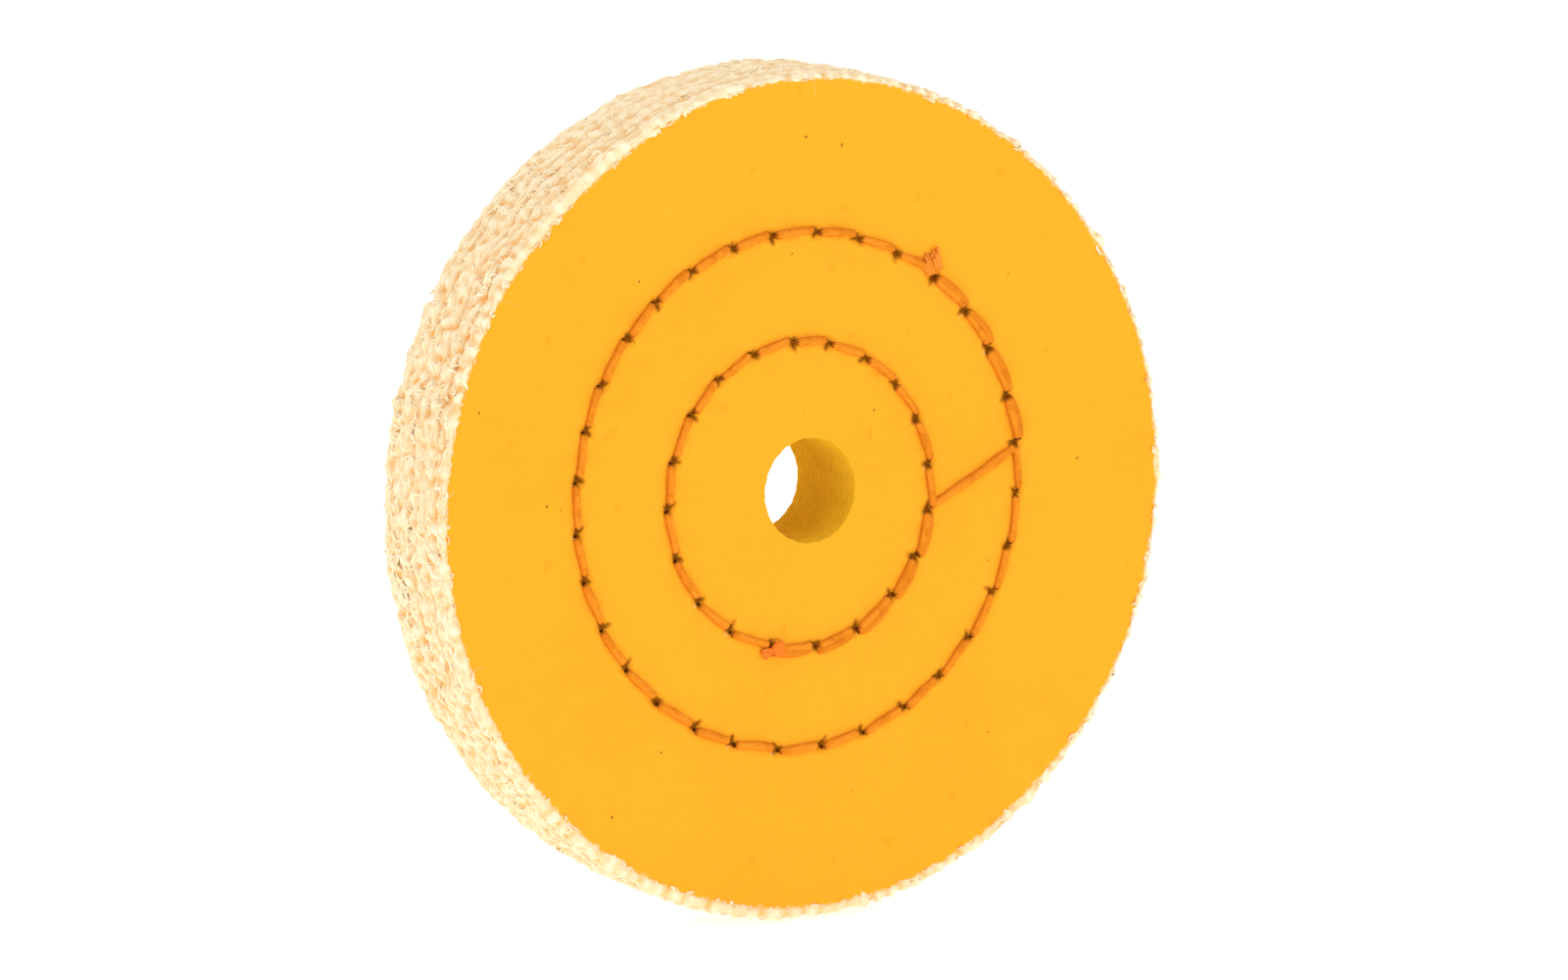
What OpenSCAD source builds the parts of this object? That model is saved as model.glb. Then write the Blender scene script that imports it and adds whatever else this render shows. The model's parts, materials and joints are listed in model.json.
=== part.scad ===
// Stitched cotton polishing wheel for a bench polisher's spindle.
// Forty discs of dyed cotton sheeting are stacked and lockstitched together in two rows round the
// arbor hole. A needle thread runs over the front face and a bobbin thread over the back, and their
// loops catch each other inside the stack, at half its depth.
// Origin: centre of the arbor hole, at half the thickness. The wheel spins about Y, and its front
// face looks along -Y. Sizes are in millimetres.
// Each module below draws in a local frame that has Z along the spindle, towards the front face.

/* [Wheel] */
// Diameter that the plies are cut to
wheel_d = 101.6; // [95:0.1:120]
// Diameter of the arbor hole
bore_d = 12.7; // [6.35:0.05:15.9]
// Thickness of the stack under the flanges
hub_t = 13.2; // [10:0.1:20]
// Thickness of the stack at the rim, where nothing holds the plies together
rim_t = 13.8; // [12:0.1:22]

/* [Stitching] */
// Radius of the inner row of stitches
inner_row_r = 18.7; // [18.5:0.05:19.5]
// Stitches in one turn of the inner row
inner_stitches = 20; // [16:1:24]
// Radius of the outer row of stitches
outer_row_r = 31.5; // [31:0.05:32.5]
// Stitches in one turn of the outer row
outer_stitches = 32; // [26:1:38]
// How far both rows are sewn to the side of the arbor's centre
row_shift = -1.35; // [-1.4:0.05:1.4]
// How far the inner row is sewn below the arbor's centre
inner_drop = 0.45; // [0:0.05:0.5]
// How far the stitches pull each face in
seam_dip = 0.2; // [0.1:0.05:0.5]
// Radius of the thread where it lies on a face
thread_r = 0.5; // [0.35:0.05:0.55]
// Radius of a needle hole
needle_hole_r = 0.82; // [0.8:0.01:0.95]

/* [Hidden] */
ply_count = 40;
wheel_r = wheel_d / 2;
bore_r = bore_d / 2;

// Inside a needle hole the thread is pulled thin, and each thread makes a loop of two legs there.
leg_r = 0.15;
leg_gap = 0.31;   // half the distance between the two legs of a loop
loop_reach = 0.18; // how far a loop passes the middle of the stack, to catch the other thread's loop
pass_gap = 0.33;  // the first pass lies this far inside the row's radius, a second pass outside it
doubled_bulge = 0.75; // how far a second pass bows away from the first between two holes

// The seam runs clockwise round the outer row and over its own start, crosses to the inner row, and
// does the same there. Angles are of the first hole of each row.
outer_start = 52.5;
inner_start = -9.2;
outer_overlap = 4; // stitches sewn a second time
inner_overlap = 5;
// The stitches are longer on one side of a row than on the other. Half way round, the holes are
// twice this many stitches from where even spacing would put them.
outer_drift = 0.13;
inner_drift = 0.21;
uneven = 0.03; // how far each hole is from where it is due, in stitches

// Total thickness of the stack against radius. The flat below half_seam on both sides of a row
// leaves room for the threads and for the rows being off centre.
half_seam = 2.5;
slope = 1.6;
seam_t = hub_t - 2 * seam_dip;
thickness = [
    [bore_r, hub_t],
    [inner_row_r - half_seam - slope, hub_t],
    [inner_row_r - half_seam, seam_t],
    [inner_row_r + half_seam + thread_r, seam_t],
    [inner_row_r + half_seam + thread_r + slope, hub_t],
    [outer_row_r - half_seam - slope, hub_t],
    [outer_row_r - half_seam, seam_t],
    [outer_row_r + half_seam + thread_r, seam_t],
    [outer_row_r + half_seam + thread_r + slope, hub_t],
    [wheel_r, rim_t]
];

cotton = [0.99, 0.73, 0.19];
thread = [0.93, 0.50, 0.13];

function two_digits(k) = k < 10 ? str("0", k) : str(k);
function ply_name(k) = str("cotton_ply_", two_digits(k));

// A row's radius, stitches, first angle, drift, stitches sewn twice, and centre.
outer_row = [outer_row_r, outer_stitches, outer_start, outer_drift, outer_overlap, [row_shift, 0, 0]];
inner_row = [
    inner_row_r, inner_stitches, inner_start, inner_drift, inner_overlap, [row_shift, -inner_drop, 0]
];

// ---- plies ----

// Height of the surface under ply k of the stack, at each radius of the thickness list.
function level(k) = [for (p = thickness) [p[0], p[1] * (k / ply_count - 0.5)]];
function backwards(list) = [for (i = [len(list) - 1:-1:0]) list[i]];

module ply(k) {
    // Ply 1 is at the front, which is the top of the local frame.
    lower = level(ply_count - k);
    upper = level(ply_count - k + 1);
    color(cotton)
    difference() {
        rotate_extrude($fn = 120) polygon(concat(lower, backwards(upper)));
        needle_holes(outer_row);
        needle_holes(inner_row);
    }
}

module needle_holes(row) {
    for (i = [0:row[1] - 1])
        translate(hole_centre(row, i))
            cylinder(h = rim_t + 2, r = needle_hole_r, center = true, $fn = 24);
}

// ---- seam ----

// Holes are numbered in the order they are sewn, clockwise as seen from the front.
function hole_angle(row, i) =
    let (count = row[1], drift = row[3] * (1 - cos(360 * i / count)))
    row[2] - 360 / count * (i + drift + uneven * sin(137.5 * (i % count)));

function outward(a) = [cos(a), sin(a), 0];
function onward(a) = [sin(a), -cos(a), 0];

function hole_centre(row, i) = row[5] + row[0] * outward(hole_angle(row, i));

// A sewn hole is [centre of its pair of legs, angle, 1 on a second pass and 0 on the first].
function sewn_row(row) = [
    for (i = [0:row[1] + row[4]])
    let (a = hole_angle(row, i), again = i >= row[1] ? 1 : 0)
    [hole_centre(row, i) + (again ? pass_gap : -pass_gap) * outward(a), a, again]
];

seam = concat(sewn_row(outer_row), sewn_row(inner_row));
crossing = outer_stitches + outer_overlap; // the hole that the seam leaves to cross to the inner row

function at_height(p, z) = [p[0], p[1], z];
// A thread of radius r resting on the face, over p.
function on_face(p, r) = [at_height(p, lookup(norm([p[0], p[1]]), thickness) / 2 + r), r];

// The way a loop's two legs are apart: along the seam for the needle thread, across it for the
// bobbin thread, so that each loop passes through the other.
function leg_step(hole, across) = leg_gap * (across ? outward(hole[1]) : onward(hole[1]));

// Down one leg, round and up the other, as [point, radius] pairs.
function loop(hole, across) =
    let (d = leg_step(hole, across), top = seam_t / 2 + leg_r)
    [
        [at_height(hole[0] - d, top), leg_r],
        [at_height(hole[0] - d, -loop_reach), leg_r],
        [at_height(hole[0] + d, -loop_reach), leg_r],
        [at_height(hole[0] + d, top), leg_r]
    ];

// The thread over the face from one hole to the next.
function stitch(a, b, across, crosses) =
    let (
        from = a[0] + leg_step(a, across),
        to = b[0] - leg_step(b, across),
        side = outward((a[1] + b[1]) / 2),
        bow = !crosses && a[2] + b[2] == 2 ? doubled_bulge : 0
    )
    [
        for (t = crosses ? [0.07, 0.2, 0.35, 0.5, 0.65, 0.8, 0.93] : [0.15, 0.5, 0.85])
        let (r = min(thread_r, 0.7 * thread_r + 0.6 * thread_r * sin(180 * t)))
        on_face(from + t * (to - from) + bow * sin(180 * t) * side, r)
    ];

// A cut end lies on the face and points away from its hole.
function tail(hole, across, at_start, angle, length) =
    let (p = hole[0] + (at_start ? -1 : 1) * leg_step(hole, across), way = outward(angle))
    [for (s = at_start ? [1, 0.55] : [0.55, 1]) on_face(p + s * length * way, 0.85 * thread_r)];

function thread_path(across) = concat(
    tail(seam[0], across, true, 100, 2.6),
    [
        for (i = [0:len(seam) - 1])
        each concat(
            loop(seam[i], across),
            i < len(seam) - 1 ? stitch(seam[i], seam[i + 1], across, i == crossing) : []
        )
    ],
    tail(seam[len(seam) - 1], across, false, 205, 1.6)
);

// Directions along a path of [point, radius] pairs, halfway round each bend.
function unit(v) = v / norm(v);
function heading(path, i) = unit(
    (i < len(path) - 1 ? unit(path[i + 1][0] - path[i][0]) : [0, 0, 0]) +
    (i > 0 ? unit(path[i][0] - path[i - 1][0]) : [0, 0, 0])
);
// v turned as little as possible so that it is square to the heading h.
function squared(v, h) = unit(v - (v * h) * h);

module tube(path, sides) {
    headings = [for (i = [0:len(path) - 1]) heading(path, i)];
    normals = [
        for (i = 0, n = squared([0.6, 0, 0.8], headings[0]); i < len(path);
             i = i + 1, n = i < len(path) ? squared(n, headings[i]) : n) n
    ];
    rings = [
        for (i = [0:len(path) - 1])
        let (u = normals[i], v = cross(headings[i], u))
        for (s = [0:sides - 1])
        path[i][0] + path[i][1] * (cos(360 * s / sides) * u + sin(360 * s / sides) * v)
    ];
    last = (len(path) - 1) * sides;
    polyhedron(rings, concat(
        [[for (s = [0:sides - 1]) s]],
        [[for (s = [sides - 1:-1:0]) last + s]],
        [
            for (i = [0:len(path) - 2], s = [0:sides - 1])
            let (a = i * sides + s, b = i * sides + (s + 1) % sides)
            each [[b, a, a + sides], [b, a + sides, b + sides]]
        ]
    ));
}

module needle_thread() color(thread) tube(thread_path(false), 6);

// The bobbin thread follows the same holes on the other face.
module bobbin_thread() color(thread) mirror([0, 0, 1]) tube(thread_path(true), 6);

// ---- the wheel, turned so that its spindle lies along Y ----

rotate([90, 0, 0]) {
    for (k = [1:ply_count])
        ply(k);
    needle_thread();
    bobbin_thread();
}
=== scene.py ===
"""A stitched cotton polishing wheel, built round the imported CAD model.

Each of the forty plies is a sheet of woven cotton that ends in its own frayed yarns, and each of the
two threads is a plied cord that is sewn through them. Lengths are in metres, MM turns millimetres
into them. In the wheel's plane an angle runs anticlockwise from +X, seen from the front, and "out"
is the way a face looks: -Y on the front and +Y on the back.
"""

import json
import math

import bpy
import numpy as np
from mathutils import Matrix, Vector


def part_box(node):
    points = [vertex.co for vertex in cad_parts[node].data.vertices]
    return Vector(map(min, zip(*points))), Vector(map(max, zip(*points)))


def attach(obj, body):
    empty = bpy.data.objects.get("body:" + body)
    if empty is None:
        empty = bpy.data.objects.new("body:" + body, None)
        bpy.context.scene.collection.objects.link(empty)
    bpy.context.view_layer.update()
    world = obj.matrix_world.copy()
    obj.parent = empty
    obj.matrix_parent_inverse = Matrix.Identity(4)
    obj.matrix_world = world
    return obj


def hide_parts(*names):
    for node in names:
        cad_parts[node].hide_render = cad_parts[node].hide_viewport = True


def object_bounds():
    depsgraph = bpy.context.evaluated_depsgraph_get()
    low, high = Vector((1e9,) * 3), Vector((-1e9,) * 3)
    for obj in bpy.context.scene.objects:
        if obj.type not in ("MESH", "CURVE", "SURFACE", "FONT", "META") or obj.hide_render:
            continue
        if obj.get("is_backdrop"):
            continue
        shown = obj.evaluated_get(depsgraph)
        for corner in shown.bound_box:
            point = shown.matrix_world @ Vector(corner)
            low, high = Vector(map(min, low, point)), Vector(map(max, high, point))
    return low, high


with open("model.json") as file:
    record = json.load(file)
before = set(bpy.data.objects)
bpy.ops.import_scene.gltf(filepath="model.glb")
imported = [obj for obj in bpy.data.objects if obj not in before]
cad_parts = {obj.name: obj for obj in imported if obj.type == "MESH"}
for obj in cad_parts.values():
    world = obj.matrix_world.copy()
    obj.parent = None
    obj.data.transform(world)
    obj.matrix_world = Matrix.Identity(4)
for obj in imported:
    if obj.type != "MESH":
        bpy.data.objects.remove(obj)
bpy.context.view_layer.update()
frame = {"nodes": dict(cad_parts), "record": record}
MM = 0.001

# ---- sizes, from the frame ----

PLIES = sorted(name for name in frame["nodes"] if name.startswith("cotton_ply_"))
COUNT = len(PLIES)
MOUNTS = {m["name"]: m for m in frame["record"]["mounts"]}
BORE_R = MOUNTS["arbor_hole"]["dims"]["r_mm"] * MM
HUB_T = MOUNTS["arbor_hole"]["dims"]["length_mm"] * MM
CUT_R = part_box(PLIES[0])[1].x  # the radius that the plies are cut to
RIM_T = -2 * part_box(PLIES[0])[0].y

# ---- the seam, with the same values as in the CAD model ----

OUTER_ROW = {
    "r": 31.5 * MM, "count": 32, "start": 52.5, "drift": 0.13, "overlap": 4, "centre": (-1.35, 0)
}
INNER_ROW = {
    "r": 18.7 * MM, "count": 20, "start": -9.2, "drift": 0.21, "overlap": 5, "centre": (-1.35, -0.45)
}
UNEVEN = 0.03
DOUBLED_BULGE = 0.22 * MM  # the soft threads lie closer together than the CAD's round ones
HALF_SEAM = 2.5 * MM
SLOPE = 1.6 * MM
SEAM_DIP = 0.2 * MM
LEG_GAP = 0.31 * MM
LOOP_REACH = 0.18 * MM
FIRST_PASS_OUT = 0.1 * MM  # how far outside its hole's centre a thread lies, on each pass
SECOND_PASS_OUT = 0.48 * MM
NO_HOLE = (9.0, 9.0, 0.0)  # (dx, dz, hole number) for a point that no needle mark reaches

rng = np.random.default_rng(40)


def hole_angle(row, i):
    """Angle in radians of the i-th hole that is sewn, clockwise from the row's start."""
    count = row["count"]
    drift = row["drift"] * (1 - math.cos(2 * math.pi * i / count))
    uneven = UNEVEN * math.sin(math.radians(137.5 * (i % count)))
    return math.radians(row["start"] - 360 / count * (i + drift + uneven))


def outward(a):
    """Unit vector in the wheel's plane, as (x, z)."""
    return np.array([math.cos(a), math.sin(a)])


def onward(a):
    """Unit vector along a row, the way it is sewn."""
    return np.array([math.sin(a), -math.cos(a)])


def hole_centre(row, i):
    """Centre of the i-th hole in the wheel's plane, as (x, z)."""
    return np.array(row["centre"]) * MM + row["r"] * outward(hole_angle(row, i))


HOLES = np.array([hole_centre(row, i) for row in (OUTER_ROW, INNER_ROW) for i in range(row["count"])])


def stack_thickness(r):
    """Thickness of the whole stack at radius r, eased where the CAD's outline has corners."""
    thread_r = 0.5 * MM
    radii, sizes = [0], [HUB_T]
    for row in (INNER_ROW, OUTER_ROW):
        near, far = row["r"] - HALF_SEAM, row["r"] + HALF_SEAM + thread_r
        radii += [near - SLOPE, near, far, far + SLOPE]
        sizes += [HUB_T, HUB_T - 2 * SEAM_DIP, HUB_T - 2 * SEAM_DIP, HUB_T]
    radii.append(CUT_R)
    sizes.append(RIM_T)
    ease = np.linspace(-1, 1, 7) * MM
    return np.mean([np.interp(r + d, radii, sizes) for d in ease], axis=0)


# ---- smooth random variation ----


def waves(seed, lowest, highest, terms, depth_step=3 * MM):
    """A function of angle and depth that varies smoothly from about -1 to 1 and closes on itself."""
    own = np.random.default_rng(seed)
    turns = own.integers(lowest, highest + 1, terms)
    drift = own.normal(0, 1, terms)
    phase = own.uniform(0, 2 * math.pi, terms)

    def value(angle, depth=0.0):
        angle, depth = np.broadcast_arrays(angle, depth)
        parts = np.cos(angle[..., None] * turns + depth[..., None] / depth_step * drift + phase)
        return parts.sum(-1) / math.sqrt(terms)

    return value


rim_lumps = waves(1, 5, 60, 30)
combing = waves(2, 3, 16, 14)
flutter = waves(3, 4, 22, 12)
tufts = waves(5, 50, 190, 80, 0.5 * MM)  # matted clumps of yarn, 1 to 3 mm across
ragged = waves(6, 14, 70, 26)

# Where groups of plies part, from the front (negative) to the back, with the way each parting
# wanders and how open it is.
GROOVE_DEPTHS = (-5.1, -3.6, -1.4, 0.8, 2.9, 4.9)
GROOVES = [
    (depth * MM, waves(20 + 2 * i, 1, 6, 5), waves(21 + 2 * i, 2, 9, 6))
    for i, depth in enumerate(GROOVE_DEPTHS)
]


def groove(angle, depth):
    """From 0 to 1, how much the rim is parted between two groups of plies."""
    total = 0.0
    for at, wander, strength in GROOVES:
        middle = at + 0.55 * MM * wander(angle)
        open_here = np.clip(0.6 + 0.8 * strength(angle), 0, 1)
        total = total + open_here * np.exp(-(((depth - middle) / (0.4 * MM)) ** 2))
    # The front plies stand clear of the rest at the upper left.
    turn = np.mod(angle, 2 * math.pi)
    parted = 1.5 * np.exp(-(((turn - math.radians(156)) / 0.36) ** 2))
    total = total + parted * np.exp(-(((depth + 4.8 * MM) / (0.3 * MM)) ** 2))
    return np.clip(total, 0, 1.4)


def off_centre(angle, depth):
    """The plies are cut a little off the arbor's centre, and the front ones hang lower."""
    sag = 0.48 - 0.75 * depth / RIM_T
    return (-0.22 * np.cos(angle) - sag * np.sin(angle)) * MM


def worn_back(angle):
    """How much further the dyed faces stop short of the rim in three places, seen from the front."""
    turn = np.mod(angle, 2 * math.pi)
    upper = 0.95 * np.exp(-(((turn - math.radians(129)) / 0.28) ** 2))
    lower = 0.75 * np.exp(-(((turn - math.radians(248)) / 1.0) ** 2))
    right = 0.45 * np.exp(-(((turn - math.radians(306)) / 0.2) ** 2))
    return (upper + lower + right) * MM


def relief(angle, depth):
    """How far the rim's surface stands out from a true cylinder."""
    shoulder = np.exp(-(RIM_T / 2 - np.abs(depth)) / (0.8 * MM))
    lumps = 0.15 * rim_lumps(angle, depth) - 0.42 * groove(angle, depth) - 0.35 * shoulder
    return off_centre(angle, depth) + lumps * MM


# ---- meshes ----


class Build:
    """Points, faces and per-point numbers, gathered until they are made into one mesh object."""

    NUMBERS = ("shade", "dye", "along", "round", "stain", "near")

    def __init__(self):
        self.points, self.faces, self.slots = [], [], []
        self.numbers = {name: [] for name in self.NUMBERS}
        self.needle = []
        self.count = 0

    def add(self, points, faces, slot=0, needle=None, **numbers):
        """points is (n, 3), and faces a list of index arrays, each of faces with the same corners."""
        points = np.asarray(points, float).reshape(-1, 3)
        n = len(points)
        self.points.append(points)
        for block in faces:
            block = np.asarray(block, int)
            self.faces.append(block + self.count)
            self.slots.append(np.full(len(block), slot))
        for name in self.NUMBERS:
            self.numbers[name].append(np.broadcast_to(numbers.get(name, 0.0), (n,)))
        far = np.tile(NO_HOLE, (n, 1))
        self.needle.append(far if needle is None else needle)
        self.count += n

    def make(self, name, materials):
        mesh = bpy.data.meshes.new(name)
        points = np.concatenate(self.points)
        corners = np.concatenate([b.ravel() for b in self.faces])
        sizes = np.concatenate([np.full(len(b), b.shape[1]) for b in self.faces])
        mesh.vertices.add(len(points))
        mesh.vertices.foreach_set("co", points.astype(np.float32).ravel())
        mesh.loops.add(len(corners))
        mesh.loops.foreach_set("vertex_index", corners.astype(np.int32))
        mesh.polygons.add(len(sizes))
        starts = np.concatenate([[0], np.cumsum(sizes)[:-1]])
        mesh.polygons.foreach_set("loop_start", starts.astype(np.int32))
        mesh.polygons.foreach_set("loop_total", sizes.astype(np.int32))
        mesh.polygons.foreach_set("material_index", np.concatenate(self.slots).astype(np.int32))
        for label, values in self.numbers.items():
            layer = mesh.attributes.new(label, "FLOAT", "POINT")
            layer.data.foreach_set("value", np.concatenate(values).astype(np.float32))
        layer = mesh.attributes.new("needle", "FLOAT_VECTOR", "POINT")
        layer.data.foreach_set("vector", np.concatenate(self.needle).astype(np.float32).ravel())
        mesh.update(calc_edges=True)
        mesh.shade_smooth()
        obj = bpy.data.objects.new(name, mesh)
        for m in materials:
            mesh.materials.append(m)
        bpy.context.scene.collection.objects.link(obj)
        return obj


def grid_faces(rows, columns, first=0, wrap_rows=False):
    """Quads over a grid of points stored row by row, whose columns close into a ring."""
    i, j = np.meshgrid(np.arange(rows if wrap_rows else rows - 1), np.arange(columns), indexing="ij")
    i, j = i.ravel(), j.ravel()
    after, beside = (i + 1) % rows, (j + 1) % columns
    corners = [i * columns + j, after * columns + j, after * columns + beside, i * columns + beside]
    return first + np.stack(corners, 1)


def unit(v):
    return v / np.maximum(np.linalg.norm(v, axis=-1, keepdims=True), 1e-12)


def tubes(build, centre, radius, sides, slot, pressed=0.0, **numbers):
    """Closed tubes along the lines centre (n, rings, 3), with radius (n, rings).

    pressed is how much they are flattened against the wheel's rim.
    """
    n, rings, _ = centre.shape
    ahead = unit(np.gradient(centre, axis=1))
    across = unit(np.cross(ahead, rng.normal(0, 1, (n, 1, 3))))
    third = np.cross(ahead, across)
    turn = 2 * math.pi * np.arange(sides) / sides
    ring = (
        across[:, :, None] * np.cos(turn)[None, None, :, None]
        + third[:, :, None] * np.sin(turn)[None, None, :, None]
    )
    away = unit(centre * [1, 0, 1])[:, :, None]
    ring = ring - pressed * (ring * away).sum(-1, keepdims=True) * away
    points = centre[:, :, None] + ring * radius[:, :, None, None]
    one = grid_faces(rings, sides)
    starts = (np.arange(n) * rings * sides)[:, None, None]
    sleeve = (one[None] + starts).reshape(-1, 4)
    low = np.arange(sides)[::-1]
    high = (rings - 1) * sides + np.arange(sides)
    caps = (np.stack([low, high])[None] + starts).reshape(-1, sides)
    spread = {k: np.repeat(np.broadcast_to(v, (n, rings)).ravel(), sides) for k, v in numbers.items()}
    build.add(points, [sleeve, caps[:, ::-1]], slot, **spread)


# ---- the plies ----


def boundary(level, r, angle):
    """Y of the surface between two plies, where level is 0 at the front face and 1 at the back."""
    loose = np.clip((r - 0.78 * CUT_R) / (0.22 * CUT_R), 0, 1) ** 2
    inner = np.sin(math.pi * np.clip(level, 0, 1))
    lift = flutter(angle, level * RIM_T) * loose * (0.10 + 0.45 * inner) * MM
    return (level - 0.5) * stack_thickness(r) + lift


def cloth_edge(k, angle):
    """Radius at which the woven cloth of ply k ends and its loose yarns begin."""
    jag = waves(100 + k, 40, 260, 40)(angle)
    depth = ((k + 0.5) / COUNT - 0.5) * RIM_T
    whole = CUT_R + off_centre(angle, depth) + 0.08 * jag * MM
    return whole + 0.25 * MM - worn_back(angle) if k in (0, COUNT - 1) else whole - 0.5 * MM


def to_nearest_hole(x, z):
    """(dx, dz, hole number) from the nearest needle hole, in millimetres."""
    away = np.stack([x, z], -1)[:, None] - HOLES[None]
    nearest = np.linalg.norm(away, axis=-1).argmin(1)
    step = away[np.arange(len(x)), nearest] / MM
    return np.column_stack([step, nearest])


def pucker(step):
    """How far the cloth round a needle hole is pulled in."""
    d = np.hypot(step[:, 0], step[:, 1])
    angle = np.arctan2(step[:, 1], step[:, 0])
    folds = 0.5 + 0.5 * np.cos(4 * angle + 2.4 * step[:, 2])
    dimple = 0.23 * np.exp(-((d / 0.55) ** 2))
    creases = 0.10 * folds * np.exp(-((d / 1.1) ** 2))
    ridge = 0.07 * np.exp(-(((d - 1.25) / 0.4) ** 2))
    return np.maximum(ridge - dimple - creases, -0.2) * MM


def face_radii():
    """Radii of the rings of points on an outer face, close together where it is stitched."""
    coarse = np.concatenate([
        [BORE_R], np.linspace(BORE_R + 0.12 * MM, 0.96 * CUT_R, 26), np.linspace(0.965 * CUT_R, CUT_R, 9),
    ])
    fine = [row["r"] + np.arange(-2.75, 2.76, 0.25) * MM for row in (INNER_ROW, OUTER_ROW)]
    clear = [r for r in coarse if all(abs(r - row["r"]) > 2.9 * MM for row in (INNER_ROW, OUTER_ROW))]
    return np.sort(np.concatenate([clear, *fine]))


def ply_cloth(build, k):
    """The woven disc of ply k as one closed sheet."""
    outer = {0: -1, COUNT - 1: 1}.get(k)
    around = 800 if outer else 240
    between = np.array([6.5, 14.6, 16.2, 21.7, 23.3, 27.4, 29, 34.5, 36.1, 42, 46, 49]) * MM
    plain = np.concatenate([[BORE_R], between, [CUT_R]])
    front = face_radii() if outer == -1 else plain
    back = face_radii() if outer == 1 else plain
    angle = np.arange(around) * 2 * math.pi / around
    edge = cloth_edge(k, angle)
    bore = BORE_R + (0.05 + 0.04 * waves(300 + k, 2, 30, 12)(angle)) * MM
    crevice = 0.012 * MM
    round_off = 0.07 * MM
    # One closed section: (radius, share of the way from the ply's front to its back).
    section = [(r, 0.0) for r in front] + [(r, 1.0) for r in back[::-1]]
    section.insert(len(front), (CUT_R, 0.5))
    section.append((BORE_R, 0.5))
    wall = np.array([float(r == BORE_R) for r, _ in section])
    points, needle = [], []
    for r, side in section:
        share = (r - BORE_R) / (CUT_R - BORE_R)
        radius = bore + share * (edge - bore)
        if share in (0.0, 1.0) and side != 0.5:
            radius = radius + (round_off if share == 0 else -round_off)
        low = boundary(k / COUNT, radius, angle) + crevice
        high = boundary((k + 1) / COUNT, radius, angle) - crevice
        x, z = radius * np.cos(angle), radius * np.sin(angle)
        y = low + side * (high - low)
        step = np.tile(NO_HOLE, (around, 1))
        if outer and side == (0.0 if outer == -1 else 1.0):
            step = to_nearest_hole(x, z)
            slack = 0.03 * MM * (1 + flutter(angle * 3, radius * 0.9))
            y = y + outer * (pucker(step) + slack)
        points.append(np.stack([x, y, z], 1))
        needle.append(step)
    rows = len(section)
    faces = grid_faces(rows, around, wrap_rows=True)
    needle = np.concatenate(needle)
    near = np.clip(1 - np.hypot(needle[:, 0], needle[:, 1]) / 2.5, 0, 1)
    inside = np.concatenate([(edge - np.hypot(p[:, 0], p[:, 2])) / MM for p in points])
    shade = np.repeat(wall, around)
    build.add(np.concatenate(points), [faces], 0, needle, along=inside, near=near, shade=shade)


# ---- frayed yarns ----


def curl(sunk, root_y, root_angle, height, length, heading, bend, rings, lie=1.0):
    """Lines that rise out of the felt and run over it. All but sunk, rings and lie are arrays.

    sunk is how deep they start, heading the way they run over the rim, from along it (0) to across it
    (pi / 2), bend how far they turn, and lie how soon they lie down.
    """
    s = np.linspace(0, 1, rings)[None]
    rise = np.sin(np.minimum(s * 1.5 * lie, 1) * math.pi / 2)
    drop = 0.35 * np.clip(s - 0.6, 0, 1) ** 1.5
    way = heading[:, None] + bend[:, None] * s
    step = length[:, None] / (rings - 1) * np.clip(s * 3.5, 0, 1)
    angle = root_angle[:, None] + np.cumsum(np.cos(way) * step, 1) / CUT_R
    y = root_y[:, None] + np.cumsum(np.sin(way) * step, 1)
    r = felt_surface(angle, y) - sunk + height[:, None] * (rise - drop)
    return np.stack([r * np.cos(angle), y, r * np.sin(angle)], -1)


def combed(angle, y):
    """1 where the rim was last raked smooth, 0 where its yarns are curled."""
    back = 0.5 + y / RIM_T
    return np.clip(0.5 + 0.9 * combing(angle, y) + 0.8 * (back - 0.75), 0, 1)


def calm(angle):
    """1 at the top of the rim, which was pressed smooth, falling to 0 away from it."""
    return np.exp(-(((np.mod(angle, 2 * math.pi) - math.radians(103)) / 0.5) ** 2))


def felt_surface(angle, depth):
    """Radius of the matted yarn ends."""
    height = 0.86 + (0.2 - 0.12 * calm(angle)) * tufts(angle, depth)
    return CUT_R + relief(angle, depth) + height * MM


def felt_radius(k, angle):
    """Radius of the matted yarn ends round ply k, with their own unevenness."""
    depth = ((k + 0.5) / COUNT - 0.5) * RIM_T
    return felt_surface(angle, depth) + 0.04 * MM * waves(700 + k, 100, 420, 50)(angle)


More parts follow.
